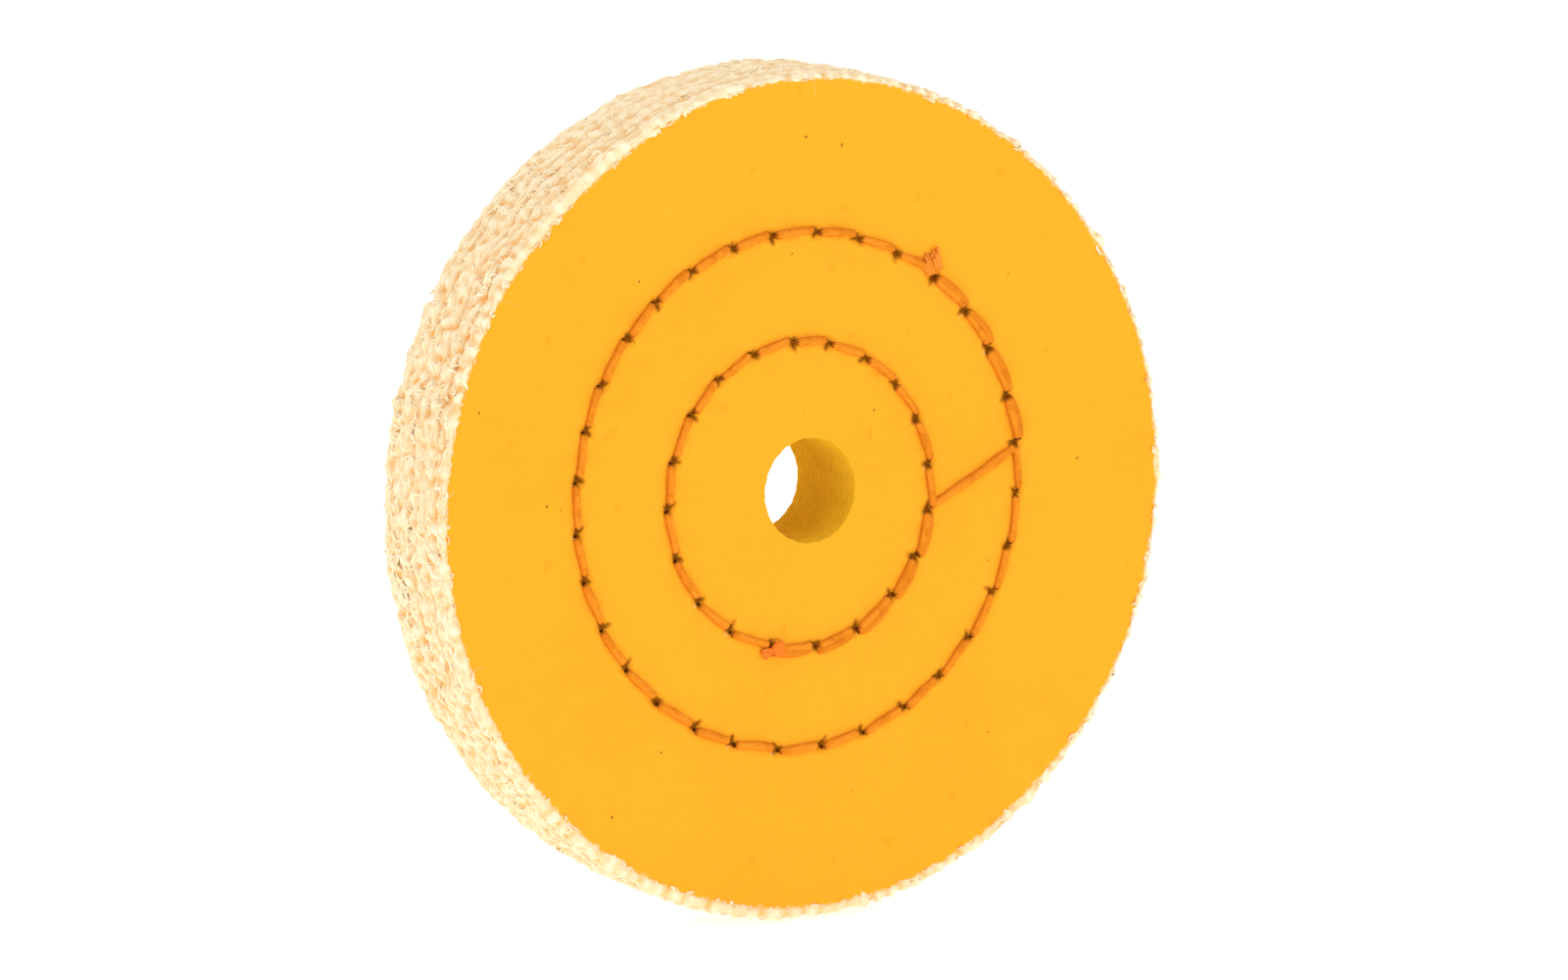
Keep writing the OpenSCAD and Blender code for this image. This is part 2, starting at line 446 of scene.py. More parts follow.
def ply_felt(build, k):
    """The soft ring that ply k's cut yarn ends are matted into."""
    around = 960
    angle = np.arange(around) * 2 * math.pi / around
    far = felt_radius(k, angle)
    low_level, high_level = k / COUNT, (k + 1) / COUNT

    def point(r, level, shift=0.0):
        return r, boundary(level, r, angle) + shift * MM

    middle = (k + 0.5) / COUNT
    front = [point(far - 0.75 * MM, low_level, -0.03), point(far - 0.06 * MM, low_level, -0.03)]
    back = [point(far - 0.06 * MM, high_level, 0.03), point(far - 0.75 * MM, high_level, 0.03)]
    dyes = [0.6, 0.5, 0.1, 0.0, 0.1, 0.5]
    if k == 0:
        front, dyes[1:3] = lapped(angle, far, 0.0, -1)
    if k == COUNT - 1:
        back, tail = lapped(angle, far, 1.0, 1)
        back, dyes[4:6] = back[::-1], tail[::-1]
    rows = [point(far - 1.2 * MM, middle), *front, point(far, middle), *back]
    points = [np.stack([r * np.cos(angle), y, r * np.sin(angle)], 1) for r, y in rows]
    depth = ((k + 0.5) / COUNT - 0.5) * RIM_T
    # Painted shade: the felt is coloured darker and tan in its hollows and partings, and less so along the
    # smooth top of the rim. The yellow there is partly the dyed cloth showing and partly painted shade.
    low = -tufts(angle, depth) - 0.8 * calm(angle)
    parted = groove(angle, depth)
    shade = np.clip(0.5 + 0.34 * low + 0.45 * parted, 0, 1)
    dye = np.clip(0.45 * low - 0.15 + 0.5 * parted, 0, 0.7)
    dye = np.maximum(np.tile(dye, (len(rows), 1)), np.array(dyes)[:, None])
    faces = grid_faces(len(rows), around, wrap_rows=True)
    build.add(np.concatenate(points), [faces], 1, shade=np.tile(shade, len(rows)), dye=dye.ravel())


def lapped(angle, far, level, out):
    """Rows of points where the outermost ply's felt comes over the edge of its face."""
    wild = 0.6 + 0.5 * waves(47 + out, 2, 9, 8)(angle)
    jag = wild * (0.22 * waves(41 + out, 110, 420, 60)(angle) + 0.4 * ragged(angle, out * RIM_T))
    lap = worn_back(angle) / MM - 0.15 + np.clip(jag, -0.3, 1.2)
    edge = CUT_R + off_centre(angle, out * RIM_T / 2) - lap * MM
    edge = np.minimum(edge, cloth_edge(0 if out < 0 else COUNT - 1, angle) - 0.15 * MM)
    swell = 1 + 0.5 * waves(45 + out, 90, 300, 40)(angle)
    outer = far - 0.3 * MM
    rows = []
    for share, lift in ((0.0, -0.04), (0.12, 0.05), (0.45, 0.12), (0.8, 0.13), (1.0, 0.06)):
        r = edge + share * (outer - edge)
        rows.append((r, boundary(level, r, angle) + out * lift * swell * MM))
    rows.append((far - 0.08 * MM, boundary(level, far, angle) - out * 0.06 * MM))
    return rows, [0.45, 0.2, 0.05, 0.0, 0.0, 0.0]


def ply_yarns(build, k):
    """Single yarn ends that lie on the felt, curled or raked flat."""
    n = 150
    angle = 2 * math.pi * (np.arange(n) + rng.uniform(-0.5, 0.5, n)) / n
    felt = felt_radius(k, angle)
    middle = boundary((k + 0.5) / COUNT, felt, angle)
    smooth = combed(angle, middle)
    parted = groove(angle, middle)
    heading = rng.uniform(-math.pi, math.pi, n)
    flat = rng.choice([0.0, math.pi], n) + rng.normal(0, 0.35, n)
    heading = np.where(rng.random(n) < smooth * 0.9, flat, heading)
    bend = rng.normal(0, 1, n) * (2.8 - 2.0 * smooth)
    height = rng.uniform(0.24, 0.42, n) * MM
    length = rng.uniform(1.0, 2.3, n) * (1 + 0.5 * smooth) * (1 - 0.5 * parted) * MM
    height = height - 0.09 * calm(angle) * MM
    # A yarn that would leave the wheel's side is turned back over the rim.
    reach = middle + length * np.sin(heading + bend / 2) * 0.8
    beyond = np.abs(reach) > RIM_T / 2 - 0.1 * MM
    heading = np.where(beyond, -heading, heading)
    bend = np.where(beyond, -bend, bend)
    rings = 7
    line = curl(0.4 * MM, middle, angle, height, length, heading, bend, rings)
    s = np.linspace(0, 1, rings)[None]
    thick = rng.uniform(0.18, 0.32, n)[:, None] * MM * (1 - 0.45 * s**2)
    # Yarns over a parting of the plies get painted shade, darker and yellower.
    shade = np.clip(0.2 - 0.12 * tufts(angle, middle) + rng.normal(0, 0.15, n) + 0.3 * parted, 0, 1)
    dye = np.clip(0.3 - 1.2 * s + 0.3 * parted[:, None] + rng.normal(0, 0.1, (n, 1)), 0, 1)
    tubes(build, line, thick, 5, 1, pressed=0.4, shade=shade[:, None], dye=dye, along=s)


def ply_fibres(build, k):
    """Fine fibres that have worked loose from ply k's yarns."""
    n = 50
    angle = rng.uniform(0, 2 * math.pi, n)
    middle = boundary((k + 0.5) / COUNT, np.full(n, CUT_R), angle)
    height = rng.uniform(0.3, 0.7, n) * MM
    length = rng.uniform(0.8, 2.4, n) * MM
    heading = rng.uniform(-math.pi, math.pi, n)
    bend = rng.normal(0, 2.6, n)
    rings = 7
    line = curl(0.2 * MM, middle, angle, height, length, heading, bend, rings, 0.7)
    s = np.linspace(0, 1, rings)[None]
    thick = rng.uniform(0.015, 0.035, n)[:, None] * MM * (1 - 0.6 * s)
    tubes(build, line, thick, 3, 1, shade=rng.uniform(0, 0.4, (n, 1)), dye=0.0, along=s)


def edge_lint(build, k, out):
    """The outermost ply's yarn ends, matted along the edge of its face and lapping a little over it."""
    n = 400
    angle = rng.uniform(0, 2 * math.pi, n)
    patch = ragged(angle, out * RIM_T)
    keep = rng.random(n) < 0.62 + 0.3 * np.clip(patch, -1, 1)
    angle, patch = angle[keep], patch[keep]
    n = len(angle)
    rings = 7
    s = np.linspace(0, 1, rings)[None]
    edge = cloth_edge(k, angle)
    lap = (rng.uniform(-0.3, 0.25, n) + 0.3 * np.clip(patch, -0.8, 1.8)) * MM
    length = rng.uniform(0.8, 1.9, n) * MM
    # Each yarn comes round the edge, then runs along it in a loose curl.
    way = rng.choice([0.0, math.pi], n) + rng.normal(0, 0.6, n)
    bend = rng.normal(0, 1.3, n)
    heading = way[:, None] + bend[:, None] * s
    step = length[:, None] / (rings - 1) * np.clip(s * 3, 0, 1)
    along = np.cumsum(np.cos(heading) * step, 1)
    sideways = np.cumsum(np.sin(heading) * step, 1)
    laid = np.clip(s * 2.2, 0, 1)
    tucked = 0.45 * MM * (1 - laid)
    swing = np.clip(sideways, -0.5 * MM, 0.5 * MM) * 0.5
    r = edge[:, None] + tucked - lap[:, None] * laid + swing
    # None of them stands out past the felt behind it.
    r = np.minimum(r, felt_surface(angle[:, None], out * (RIM_T / 2 - 0.3 * MM)) - 0.12 * MM)
    face = boundary(0.0 if out < 0 else 1.0, r, angle[:, None])
    lifted = (rng.uniform(0.08, 0.24, n)[:, None] * laid - 0.9 * (1 - laid)) * MM
    at = angle[:, None] + along / CUT_R
    line = np.stack([r * np.cos(at), face + out * lifted, r * np.sin(at)], -1)
    thick = rng.uniform(0.13, 0.25, n)[:, None] * MM * (1 - 0.5 * s**2)
    shade = np.clip(0.3 + rng.normal(0, 0.16, n) + 0.08 * patch, 0, 1)
    dye = np.clip(rng.uniform(-0.6, 0.3, (n, 1)) + 0.25 * s, 0, 1)
    tubes(build, line, thick, 5, 1, shade=shade[:, None], dye=dye, along=s)


# Bits of seed husk in the front ply, as (radius in mm, angle in degrees, length in mm).
FRONT_HUSKS = [
    (43, 91, 0.6), (42, 84, 0.7), (42, 78, 0.4), (29, 95, 0.5), (38, 41, 0.4), (36, 132, 0.4),
    (49, 154, 0.5), (13, 45, 0.7), (39, 2, 0.6), (44, -2, 0.55), (37, 179, 0.6), (35, 180, 0.45),
    (37, -125, 0.5), (38, -81, 0.5), (47, -127, 0.5), (41, -51, 0.5), (48, 165, 0.5), (28, -22, 0.4),
]


def husks(build, places, out):
    """Flakes of husk pressed into the outer face of a ply."""
    corners = 7
    for r, degrees, size in places:
        angle = math.radians(degrees)
        centre = np.array([r * math.cos(angle), r * math.sin(angle)]) * MM
        turn = np.arange(corners) * 2 * math.pi / corners + rng.uniform(0, 1)
        way = rng.uniform(0, math.pi)
        long, wide = 0.5 * size * MM, rng.uniform(0.2, 0.32) * size * MM
        u = long * np.cos(turn) * rng.uniform(0.7, 1.1, corners)
        v = wide * np.sin(turn) * rng.uniform(0.7, 1.1, corners)
        x = centre[0] + u * math.cos(way) - v * math.sin(way)
        z = centre[1] + u * math.sin(way) + v * math.cos(way)
        face = boundary(0.0 if out < 0 else 1.0, r * MM, angle)
        heights = (-0.06, 0.035, 0.06)
        spread = (1.0, 0.9, 0.35)
        rings = [
            np.column_stack([
                centre[0] + (x - centre[0]) * w,
                np.full(corners, face + out * h * MM),
                centre[1] + (z - centre[1]) * w,
            ])
            for h, w in zip(heights, spread, strict=True)
        ]
        faces = grid_faces(3, corners)
        caps = np.array([np.arange(corners), 2 * corners + np.arange(corners)[::-1]])
        build.add(np.concatenate(rings), [faces, caps], 2, shade=rng.uniform(0, 1))


# ---- threads ----


def sewn_row(row):
    """Holes in the order that they are sewn, as (centre, angle, second pass or not)."""
    holes = []
    for i in range(row["count"] + row["overlap"] + 1):
        again = i >= row["count"]
        holes.append((hole_centre(row, i), hole_angle(row, i), again))
    return holes


def leg_step(angle, out):
    """The way a loop's two legs are apart, as in the CAD, where the two threads' loops are crossed."""
    return LEG_GAP * (onward(angle) if out < 0 else outward(angle))


def stitch_line(a, b, crosses, out, jitter):
    """Control points (x, out, z) from the middle of the stack, up, over the face and down again."""
    (pa, angle_a, again_a), (pb, angle_b, again_b) = a, b
    doubled = again_a and again_b and not crosses
    slant = 0.2 * MM if out < 0 else 0.0
    start = pa + (SECOND_PASS_OUT if again_a else FIRST_PASS_OUT) * outward(angle_a) + leg_step(angle_a, out)
    end = pb + (SECOND_PASS_OUT if again_b else FIRST_PASS_OUT) * outward(angle_b) - leg_step(angle_b, out)
    start = start - slant * outward(angle_a)
    end = end + slant * outward(angle_b)
    side = outward((angle_a + angle_b) / 2)
    face = stack_thickness(np.linalg.norm((start + end) / 2)) / 2
    bow = DOUBLED_BULGE if doubled else 0.0
    steps = np.linspace(0.06, 0.94, 9 if crosses else 5)
    line = [(start, -LOOP_REACH), (start, face - 1.2 * MM), (start, face - 0.3 * MM)]
    rise = 0.22 if doubled else 0.12
    for t in steps:
        arch = math.sin(math.pi * t)
        over = start + t * (end - start) + (bow + jitter[0]) * arch * side
        here = stack_thickness(np.linalg.norm(over)) / 2
        lift = (0.24 + rise * arch) * MM + jitter[1] * arch
        line.append((over, here + lift))
    line += [(end, face - 0.3 * MM), (end, face - 1.2 * MM), (end, -LOOP_REACH)]
    return [np.array([p[0], h * out, p[1]]) for p, h in line]


def eased(points, rounds):
    """Chaikin's corner cutting, which keeps the two ends."""
    points = np.array(points)
    for _ in range(rounds):
        cut = np.empty((2 * len(points) - 2, 3))
        cut[0::2] = 0.75 * points[:-1] + 0.25 * points[1:]
        cut[1::2] = 0.25 * points[:-1] + 0.75 * points[1:]
        points = np.concatenate([points[:1], cut, points[-1:]])
    return points


def spaced(points, step):
    """The same line with points about step apart, and the distance along it."""
    gone = np.concatenate([[0], np.cumsum(np.linalg.norm(np.diff(points, axis=0), axis=1))])
    at = np.linspace(0, gone[-1], max(4, int(gone[-1] / step)))
    return np.stack([np.interp(at, gone, points[:, i]) for i in range(3)], 1), at


def thread_line(out):
    """The whole seam on one face as control points."""
    own = np.random.default_rng(7 if out < 0 else 8)
    outer, inner = sewn_row(OUTER_ROW), sewn_row(INNER_ROW)
    holes = outer + inner
    first, last = holes[0], holes[-1]
    points = tail_line(first, math.radians(96), 1.2 * MM, out)[::-1]
    for i in range(len(holes) - 1):
        jitter = own.normal((0.06, 0), (0.09, 0.05)) * MM
        points += stitch_line(holes[i], holes[i + 1], i == len(outer) - 1, out, jitter)
    return points + knot_line(last, out)


def tail_line(hole, angle, length, out):
    """The cut end at the seam's start, from inside its hole to its tip."""
    centre = hole[0] + 0.25 * MM * outward(hole[1])
    face = stack_thickness(np.linalg.norm(centre)) / 2
    line = [(centre, face - 1.2 * MM), (centre, face - 0.2 * MM)]
    for t, lift in ((0.2, 0.45), (0.55, 0.6), (1.0, 0.5)):
        line.append((centre + t * length * outward(angle), face + lift * MM))
    return [np.array([p[0], h * out, p[1]]) for p, h in line]


def knot_line(hole, out):
    """The end of the seam, where the thread is tied round itself once and cut off."""
    centre = hole[0] + 0.3 * MM * outward(hole[1])
    face = stack_thickness(np.linalg.norm(centre)) / 2
    line = [(centre, face - 1.2 * MM), (centre, face - 0.1 * MM)]
    middle = centre + np.array([0.6, 0.1]) * MM
    for i in range(9):
        a = hole[1] + math.radians(200 - 55 * i)
        swing = (0.72 - 0.03 * i) * MM
        line.append((middle + swing * outward(a), face + (0.6 + 0.05 * i) * MM))
    for t in (0.9, 1.5):
        line.append((middle + t * MM * outward(math.radians(195)), face + (0.85 - 0.25 * t) * MM))
    return [np.array([p[0], h * out, p[1]]) for p, h in line]


def hole_distance(points):
    """Distance in millimetres from each point to the nearest needle hole, seen from the front."""
    step = to_nearest_hole(points[:, 0], points[:, 2])
    return np.hypot(step[:, 0], step[:, 1])


def second_pass(points):
    """True where the seam is sewn over its own start."""
    total = np.zeros(len(points), bool)
    for row in (OUTER_ROW, INNER_ROW):
        beyond = np.hypot(*(points[:, [0, 2]] - np.array(row["centre"]) * MM).T) - row["r"]
        total |= (beyond > 0.15 * MM) & (beyond < 0.9 * MM)
    return total


def cord(build, line, out, lay=15 * MM, sides=15):
    """A three-ply thread along line: flat where it lies on the face, thin where a hole grips it."""
    centre, gone = spaced(eased(line, 3), 0.24 * MM)
    ahead = unit(np.gradient(centre, axis=0))
    plan = ahead * [1, 0, 1]
    still = np.linalg.norm(plan, axis=1) < 0.2
    known = np.flatnonzero(~still)
    index = np.arange(len(plan))
    filled = np.stack([np.interp(index, known, unit(plan[known])[:, i]) for i in range(3)], 1)
    up = np.array([0.0, out, 0.0]) * 0.8 - 0.6 * filled
    up = unit(up - (up * ahead).sum(1, keepdims=True) * ahead)
    across = np.cross(ahead, up)
    above = centre[:, 1] * out - stack_thickness(np.hypot(centre[:, 0], centre[:, 2])) / 2
    # The knot lies above its hole, so it is neither gripped by it nor darkened by its stain and painted
    # shade.
    free = hole_distance(centre) + 4 * np.clip(above / MM - 0.42, 0, 1)
    body = np.minimum(np.interp(free, [0.3, 0.85], [0, 1]), np.interp(above / MM, [-0.5, 0.1], [0, 1]))
    wide = (0.2 + 0.29 * body) * MM
    high = (0.2 + 0.2 * body) * MM
    turn = np.arange(sides) * 2 * math.pi / sides
    twist = 2 * math.pi * gone / lay
    lobes = 1 + 0.04 * np.cos(3 * (turn[None] - twist[:, None]))
    swell = 1 + 0.09 * waves(17 + out, 20, 260, 60)(2 * math.pi * gone / gone[-1])
    points = (
        centre[:, None]
        + across[:, None] * (wide * swell)[:, None, None] * (lobes * np.cos(turn))[..., None]
        + up[:, None] * (high * swell)[:, None, None] * (lobes * np.sin(turn))[..., None]
    )
    rings = len(centre)
    faces = grid_faces(rings, sides)[:, ::-1]
    caps = np.array([np.arange(sides), (rings - 1) * sides + np.arange(sides)[::-1]])
    strand = (turn[None] - twist[:, None]) / (2 * math.pi)
    # Near a hole the thread carries a real stain together with painted shade of the pit it goes down into.
    stain = np.interp(free, [0.4, 1.1], [1, 0])
    tone = np.where(second_pass(centre), 0.25, 0.5)
    tone[gone > gone[-1] - 5 * MM] = 0.85
    build.add(
        points, [faces, caps], 0, shade=np.repeat(tone, sides),
        along=np.repeat(gone / MM, sides), round=strand.ravel(), stain=np.repeat(stain, sides),
        # Painted shade: the cord is darker towards its sides and underside.
        dye=np.tile(np.clip(0.6 - 0.75 * np.sin(turn), 0, 1), rings),
    )
    return centre, up, across, wide


def thread_fuzz(build, centre, up, across, wide, out):
    """Fine ends that stand out of the thread's surface."""
    n = 420
    above = centre[:, 1] * out - stack_thickness(np.hypot(centre[:, 0], centre[:, 2])) / 2
    at = rng.choice(np.flatnonzero(above > 0.15 * MM), n)
    turn = rng.uniform(-0.3, math.pi + 0.3, n)
    away = across[at] * np.cos(turn)[:, None] + up[at] * np.sin(turn)[:, None]
    root = centre[at] + away * wide[at][:, None] * 0.6
    ahead = np.cross(up[at], across[at]) * rng.choice([-1, 1], n)[:, None]
    s = np.linspace(0, 1, 6)[None, :, None]
    length = rng.uniform(0.25, 0.9, n)[:, None, None] * MM
    drift = rng.normal(0, 0.35, (n, 1, 3))
    line = root[:, None] + length * (away[:, None] * s * 0.55 + ahead[:, None] * s + drift * s**2)
    thick = np.full((n, 6), 0.022 * MM) * (1 - 0.5 * s[..., 0])
    tubes(build, line, thick, 3, 0, shade=rng.uniform(0.2, 0.9, (n, 1)), along=s[..., 0], round=0.0)


def frayed_end(build, tip, angle, out, count, length, width, shade):
    """A cut end of thread, opened into a flat fan of its yarns."""
    s = np.linspace(0, 1, 8)[None, :, None]
    way, side = (np.array([v[0], 0, v[1]]) for v in (outward(angle), onward(angle)))
    place = np.linspace(-1, 1, count)[:, None] + rng.normal(0, 0.15, (count, 1))
    fan = unit(way + side * place * 0.22 + rng.normal(0, 0.08, (count, 3)))[:, None]
    curve = rng.normal(0, 0.12, (count, 1, 3)) * [1, 0.4, 1]
    size = rng.uniform(0.75, 1.05, (count, 1, 1)) * length
    root = tip + side * place * width / 2 + rng.normal(0, 0.04, (count, 3)) * MM
    line = root[:, None] + size * (fan * s + curve * s**2) - np.array([0, out, 0]) * 0.1 * MM * s
    thick = rng.uniform(0.28, 0.36, (count, 1)) * MM * (1 - 0.4 * s[..., 0])
    tones = shade + rng.uniform(-0.15, 0.15, (count, 1))
    tubes(build, line, thick, 4, 1, shade=tones, along=s[..., 0] * 2, round=0.0)


def thread_piece(name, node, out, materials):
    """One thread of the seam, with its fuzz and its two frayed ends."""
    build = Build()
    line = thread_line(out)
    centre, up, across, wide = cord(build, line, out)
    thread_fuzz(build, centre, up, across, wide, out)
    frayed_end(build, centre[3], math.radians(112), out, 26, 2.4 * MM, 1.6 * MM, 0.3)
    frayed_end(build, centre[-2], math.radians(200), out, 10, 0.9 * MM, 0.7 * MM, 0.75)
    obj = build.make(name, materials)
    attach(obj, "root")
    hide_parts(node)
    return obj


# ---- materials ----


class Shader:
    """A material under construction. Its methods add nodes and return their outputs."""

    def __init__(self, name, roughness, sheen=0.0, sheen_tint=(1, 1, 1), specular=0.5):
        self.material = bpy.data.materials.new(name)
        self.material.use_nodes = True
        self.nodes, self.links = self.material.node_tree.nodes, self.material.node_tree.links
        self.surface = self.nodes["Principled BSDF"].inputs
        self.surface["Roughness"].default_value = roughness
        self.surface["Sheen Weight"].default_value = sheen
        self.surface["Sheen Roughness"].default_value = 0.5
        self.surface["Sheen Tint"].default_value = (*sheen_tint, 1)
        self.surface["Specular IOR Level"].default_value = specular

    def put(self, socket, value):
        if isinstance(value, bpy.types.NodeSocket):
            self.links.new(value, socket)
        elif isinstance(value, tuple) and len(value) == 3 and socket.type == "RGBA":
            socket.default_value = (*value, 1)
        else:
            socket.default_value = value

    def math(self, operation, *values, clamp=False):
        node = self.nodes.new("ShaderNodeMath")
        node.operation, node.use_clamp = operation, clamp
        for socket, value in zip(node.inputs, values):
            self.put(socket, value)
        return node.outputs[0]

    def vector(self, operation, *values):
        node = self.nodes.new("ShaderNodeVectorMath")
        node.operation = operation
        for socket, value in zip(node.inputs, values):
            self.put(socket, value)
        return node.outputs["Value" if operation in ("LENGTH", "DOT_PRODUCT") else "Vector"]

    def place(self):
        return self.nodes.new("ShaderNodeTexCoord").outputs["Object"]

    def number(self, name):
        node = self.nodes.new("ShaderNodeAttribute")
        node.attribute_name = name
        return node.outputs["Fac"]

    def attribute(self, name):
        node = self.nodes.new("ShaderNodeAttribute")
        node.attribute_name = name
        return node.outputs["Vector"]

    def split(self, vector):
        node = self.nodes.new("ShaderNodeSeparateXYZ")
        self.put(node.inputs[0], vector)
        return node.outputs

    def join(self, x, y, z):
        node = self.nodes.new("ShaderNodeCombineXYZ")
        for socket, value in zip(node.inputs, (x, y, z)):
            self.put(socket, value)
        return node.outputs[0]

    def noise(self, vector, scale, detail=2.0, roughness=0.5):
        node = self.nodes.new("ShaderNodeTexNoise")
        self.put(node.inputs["Vector"], vector)
        node.inputs["Scale"].default_value = scale
        node.inputs["Detail"].default_value = detail
        node.inputs["Roughness"].default_value = roughness
        return node.outputs["Fac"]

    def span(self, value, low, high, start=0.0, end=1.0, smooth=True):
        """value from low to high, taken to start to end and held there."""
        node = self.nodes.new("ShaderNodeMapRange")
        node.interpolation_type = "SMOOTHSTEP" if smooth else "LINEAR"
        names = ("Value", "From Min", "From Max", "To Min", "To Max")
        for name, v in zip(names, (value, low, high, start, end)):
            self.put(node.inputs[name], v)
        return node.outputs["Result"]

    def mix(self, share, a, b, blend="MIX"):
        node = self.nodes.new("ShaderNodeMix")
        node.data_type, node.blend_type = "RGBA", blend
        self.put(node.inputs[0], share)
        self.put(node.inputs[6], a)
        self.put(node.inputs[7], b)
        return node.outputs[2]

    def bump(self, height, distance, strength=1.0):
        node = self.nodes.new("ShaderNodeBump")
        node.inputs["Strength"].default_value = strength
        node.inputs["Distance"].default_value = distance
        self.put(node.inputs["Height"], height)
        self.put(self.surface["Normal"], node.outputs["Normal"])


DYED = (0.95, 0.395, 0.0225)
DYED_DEEP = (0.80, 0.29, 0.010)
BORE_WALL = (0.80, 0.46, 0.019)
CREAM = (0.85, 0.665, 0.40)
CREAM_DARK = (0.83, 0.515, 0.215)
CREAM_PALE = (0.91, 0.78, 0.55)
YARN_PITCH = 0.36 * MM


def woven(shader, x, z):
    """Height from 0 to 1 of a plain weave, and its yarns' own unevenness."""
    u, v = shader.math("DIVIDE", x, YARN_PITCH), shader.math("DIVIDE", z, YARN_PITCH)
    fu, fv = shader.math("FLOOR", u), shader.math("FLOOR", v)

    def yarn(across, other, own):
        body = shader.math("ABSOLUTE", shader.math("SINE", shader.math("MULTIPLY", across, math.pi)))
        phase = shader.math("MULTIPLY", shader.math("ADD", other, own), math.pi)
        over = shader.math("MULTIPLY_ADD", shader.math("COSINE", phase), 0.5, 0.5)
        return shader.math("MULTIPLY", body, over)

    shifted = shader.math("ADD", fv, 1.0)
    height = shader.math("MAXIMUM", yarn(u, v, fu), yarn(v, u, shifted))
    warp = shader.noise(shader.join(fu, shader.math("MULTIPLY", v, 0.03), 0.0), 3.7, 1.0)
    weft = shader.noise(shader.join(shader.math("MULTIPLY", u, 0.03), fv, 5.0), 3.7, 1.0)
    return height, shader.math("ADD", warp, weft)


def cloth_material(name, outer):
    """Dyed cotton sheeting. outer is for a ply whose face is seen, with its weave and needle marks."""
    shader = Shader(name, roughness=0.9, specular=0.03)
    place = shader.place()
    x, y, z = shader.split(place)
    cloud = shader.noise(place, 60.0, 3.0, 0.6)
    colour = shader.mix(shader.span(cloud, 0.35, 0.7, 0.0, 0.14), DYED, DYED_DEEP)
    fray = shader.noise(place, 1500.0, 2.0, 0.6)
    undyed = shader.math("SUBTRACT", shader.math("MULTIPLY_ADD", fray, 1.4, -0.3), shader.number("along"))
    bare = shader.span(undyed, 0.0, 0.45, 0.0, 0.85)
    if outer:
        wobble = shader.noise(place, 220.0, 1.0)
        drift = shader.math("MULTIPLY_ADD", wobble, 0.5 * MM, -0.25 * MM)
        weave, uneven = woven(shader, shader.math("ADD", x, drift), shader.math("SUBTRACT", z, drift))
        # Painted shade in the low spots of the weave.
        colour = shader.mix(shader.span(weave, 0.25, 0.85, 0.16, 0.0), colour, DYED_DEEP)
        colour = shader.mix(shader.span(uneven, 0.75, 1.3, 0.10, 0.0), colour, (0.72, 0.30, 0.012))
        smudge = shader.noise(place, 420.0, 1.0)
        colour = shader.mix(shader.span(smudge, 0.70, 0.80, 0.0, 0.22), colour, (0.70, 0.22, 0.006))
        colour = needle_marks(shader, place, colour)
        shader.bump(shader.math("MULTIPLY_ADD", uneven, 0.35, weave), 0.05 * MM, 0.55)
    colour = shader.mix(bare, colour, CREAM)
    worn = shader.noise(place, 350.0, 3.0, 0.6)
    wall = shader.mix(shader.span(worn, 0.35, 0.7, 0.0, 0.35), BORE_WALL, (0.66, 0.34, 0.012))
    colour = shader.mix(shader.number("shade"), colour, wall)
    shader.put(shader.surface["Base Color"], colour)
    return shader.material


def needle_marks(shader, place, colour):
    """Paints the dark star round each needle hole and a darker ring round it, partly a real stain and partly
    painted shade in its pucker and creases, and a painted highlight on the lit side of some puckers.
    """
    dx, dz, number = shader.split(shader.attribute("needle"))
    distance = shader.vector("LENGTH", shader.join(dx, dz, 0.0))
    angle = shader.math("ARCTAN2", dz, dx)
    rough = shader.noise(place, 1900.0, 2.0, 0.6)
    spin = shader.math("MULTIPLY", number, 2.4)
    arms = shader.math("COSINE", shader.math("MULTIPLY_ADD", angle, 3.0, spin))
    phase = shader.math("MULTIPLY", number, 4.1)
    uneven = shader.math("COSINE", shader.math("MULTIPLY_ADD", angle, 1.0, phase))
    sharp = shader.math("POWER", shader.span(arms, -1.0, 1.0, smooth=False), 1.8)
    inward = shader.vector("DOT_PRODUCT", shader.vector("NORMALIZE", shader.join(dx, 0.0, dz)),
                           shader.vector("NORMALIZE", place))
    uneven = shader.math("SUBTRACT", shader.math("MULTIPLY", uneven, 0.5), inward)
    reach = shader.math("MULTIPLY_ADD", sharp, shader.math("MULTIPLY_ADD", uneven, 0.3, 0.44), 0.5)
    reach = shader.math("MULTIPLY", reach, shader.math("MULTIPLY_ADD", rough, 1.3, 0.35))
    share = shader.math("DIVIDE", distance, reach)
    close = shader.span(shader.number("near"), 0.02, 0.15)
    # The star and the ring round it are partly a real stain and partly painted shade in the pucker and its
    # creases.
    dark = shader.math("MULTIPLY", shader.span(share, 0.35, 1.35, 0.93, 0.0), close)
    rim = shader.math("MULTIPLY", shader.span(distance, 0.4, 1.5, 0.38, 0.0), close)
    colour = shader.mix(rim, colour, (0.60, 0.19, 0.005))
    # Painted highlight on the lit side of some puckers.
    offset = shader.join(shader.math("ADD", dx, 0.55), shader.math("ADD", dz, 0.55), 0.0)
    aside = shader.vector("LENGTH", offset)
    some = shader.math("SINE", shader.math("MULTIPLY", number, 7.3))
    pale = shader.math("MULTIPLY", shader.span(aside, 0.1, 0.4, 0.45, 0.0), shader.span(some, 0.5, 0.6))
    pale = shader.math("MULTIPLY", pale, close)
    colour = shader.mix(pale, colour, (0.95, 0.56, 0.17))
    return shader.mix(dark, colour, (0.19, 0.052, 0.001))


